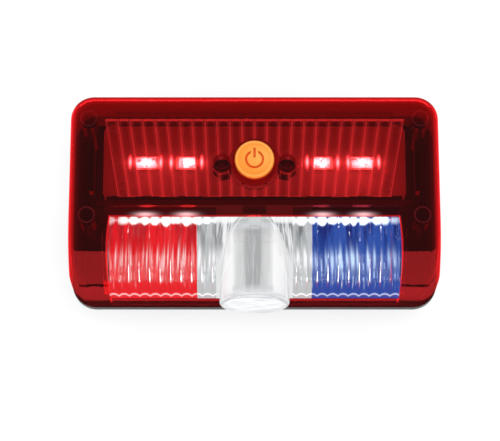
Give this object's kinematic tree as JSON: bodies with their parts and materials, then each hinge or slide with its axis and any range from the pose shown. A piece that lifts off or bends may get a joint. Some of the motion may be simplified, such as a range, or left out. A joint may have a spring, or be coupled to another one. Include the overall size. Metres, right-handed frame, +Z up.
{
  "type": "clip-on traffic warning light",
  "caption": "Palm-sized clip-on traffic warning light: red translucent shell with a quarter-round fluted lens, a stubby torch bullet, a push button and a sprung clip underneath.",
  "frame": {"origin": "centre of the overall footprint, on the flat outer face of the clip", "axes": "+Z up through the lit top face, -Y out along the torch, +X to the right with the torch toward the viewer"},
  "size_m": [0.0866, 0.0512, 0.0351],
  "materials": {
    "red_shell": "clear red polycarbonate, polished",
    "clear_lens": "clear polycarbonate, polished outside, fluted inside",
    "board": "white-masked circuit board, satin",
    "dark_board": "dark solder mask, satin",
    "white_plastic": "white moulded plastic, semi gloss",
    "strip_red": "red diffusing strip",
    "strip_blue": "blue diffusing strip",
    "led_red": "lit emitter under clear resin",
    "led_blue": "lit emitter under clear resin",
    "led_white": "emitter under clear resin",
    "chip": "ceramic chip, satin",
    "black_plastic": "black moulded plastic, fine spark texture",
    "orange_plastic": "orange moulded plastic, semi gloss",
    "rubber": "black silicone rubber",
    "steel": "bright plated steel",
    "cell_jacket": "plain dark film over a steel can"
  },
  "bodies": {
    "body": {"top_shell": "red_shell", "front_lens": "clear_lens", "spot_guide": "clear_lens", "upper_lens": "clear_lens", "main_board": "board", "front_board": "dark_board", "light_baffle": "black_plastic", "front_reflector": "white_plastic", "colour_strip_red": "strip_red", "colour_strip_blue": "strip_blue", "clear_strip_left": "clear_lens", "clear_strip_right": "clear_lens", "rear_tray": "white_plastic", "board_spacer_left": "rubber", "board_spacer_right": "rubber", "upper_led_1": "led_red", "upper_led_2": "led_red", "upper_led_3": "led_red", "upper_led_4": "led_red", "front_led_red_1": "led_red", "front_led_red_2": "led_red", "front_led_blue_1": "led_blue", "front_led_blue_2": "led_blue", "spot_led": "led_white", "resistor_1": "chip", "resistor_2": "chip", "resistor_3": "chip", "resistor_4": "chip", "resistor_5": "chip", "resistor_6": "chip", "resistor_7": "chip", "resistor_8": "chip", "switch_body": "black_plastic", "button_seal": "rubber", "board_screw_left": "steel", "board_screw_right": "steel", "case_screw_1": "steel", "case_screw_2": "steel", "case_screw_3": "steel", "case_screw_4": "steel", "case_gasket": "rubber", "base_housing": "black_plastic", "cell_front": "cell_jacket", "cell_rear": "cell_jacket", "contact_spring_front": "steel", "contact_spring_rear": "steel", "contact_plate_link": "steel", "contact_plate_negative": "steel", "contact_plate_positive": "steel", "clip_bracket": "black_plastic", "clip_screw_left": "steel", "clip_screw_right": "steel", "clip_spring": "steel"},
    "button": {"power_button": "orange_plastic", "switch_plunger": "black_plastic"},
    "door": {"battery_door": "black_plastic"},
    "clip": {"clip_lever": "black_plastic", "clip_pin": "steel", "clip_pad": "rubber"}
  },
  "joints": [
    {"name": "button_press", "type": "slide", "parent": "body", "child": "button", "axis": [0, 0, -1], "range_m": [0, 0.0007], "stiffness_N_per_m": 900, "springref_m": -0.0003},
    {"name": "door_slide", "type": "slide", "parent": "body", "child": "door", "axis": [0, 1, 0], "range_m": [0, 0.026], "stiffness_N_per_m": 4},
    {"name": "clip_open", "type": "hinge", "parent": "body", "child": "clip", "pos_m": [0, -0.006, 0.0054], "axis": [-1, 0, 0], "range_deg": [0, 20], "stiffness_Nm_per_rad": 0.25, "springref_deg": -28.65, "deforming": ["clip_spring"]}
  ]
}
